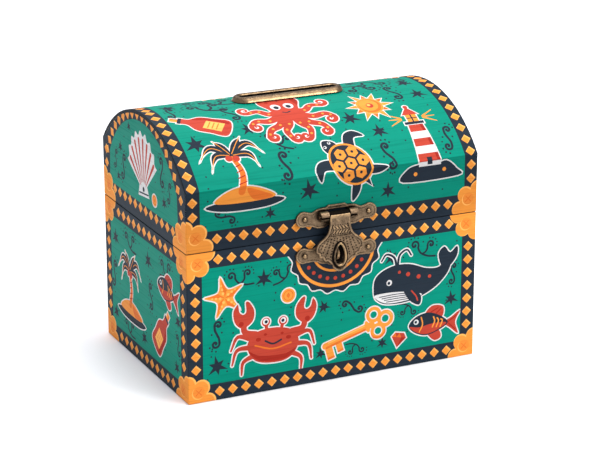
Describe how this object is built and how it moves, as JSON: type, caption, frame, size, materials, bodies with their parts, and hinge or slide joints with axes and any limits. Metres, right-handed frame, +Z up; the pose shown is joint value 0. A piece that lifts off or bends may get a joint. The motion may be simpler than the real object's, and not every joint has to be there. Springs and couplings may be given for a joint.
{
  "type": "money box",
  "caption": "Small treasure-chest money box in printed plywood, with an arched hinged lid, a metal-rimmed coin slot on top and an antique bronze hasp in front.",
  "frame": {"origin": "centre of the chest's underside, on the surface that it stands on", "axes": "+X to the right of someone who faces the hasp, the front looks along -Y, +Z up"},
  "size_m": [0.14, 0.1064, 0.1202],
  "materials": {
    "printed_plywood": "plywood printed in teal green with navy bands, orange diamonds and a matt varnish",
    "bare_plywood": "sanded plywood, bare",
    "antique_bronze": "antique bronze plate, satin, with dark patina in the hollows",
    "bronze_nails": "antique bronze plate, satin"
  },
  "bodies": {
    "chest_body": {"bottom_panel": "bare_plywood", "front_wall": "printed_plywood", "back_wall": "printed_plywood", "left_wall": "printed_plywood", "right_wall": "printed_plywood", "hasp_lower_plate": "antique_bronze", "hasp_staple": "antique_bronze", "hasp_nail_lower_left": "bronze_nails", "hasp_nail_lower_right": "bronze_nails", "hinge_left_chest_leaf": "antique_bronze", "hinge_left_pin": "antique_bronze", "hinge_left_chest_nail_a": "bronze_nails", "hinge_left_chest_nail_b": "bronze_nails", "hinge_right_chest_leaf": "antique_bronze", "hinge_right_pin": "antique_bronze", "hinge_right_chest_nail_a": "bronze_nails", "hinge_right_chest_nail_b": "bronze_nails"},
    "lid": {"lid_front_rail": "printed_plywood", "lid_back_rail": "printed_plywood", "lid_left_end": "printed_plywood", "lid_right_end": "printed_plywood", "lid_top_panel": "printed_plywood", "coin_slot_plate": "antique_bronze", "hasp_upper_plate": "antique_bronze", "hasp_pin": "antique_bronze", "hasp_nail_upper_left": "bronze_nails", "hasp_nail_upper_right": "bronze_nails", "hinge_left_lid_leaf": "antique_bronze", "hinge_left_lid_nail_a": "bronze_nails", "hinge_left_lid_nail_b": "bronze_nails", "hinge_right_lid_leaf": "antique_bronze", "hinge_right_lid_nail_a": "bronze_nails", "hinge_right_lid_nail_b": "bronze_nails"},
    "flap": {"hasp_flap": "antique_bronze"}
  },
  "joints": [
    {"name": "lid_hinge", "type": "hinge", "parent": "chest_body", "child": "lid", "pos_m": [0, 0.0506, 0.0679], "axis": [-1, 0, 0], "range_deg": [0, 180]},
    {"name": "flap_hinge", "type": "hinge", "parent": "lid", "child": "flap", "pos_m": [0, -0.051, 0.077], "axis": [-1, 0, 0], "range_deg": [-6, 160]}
  ]
}
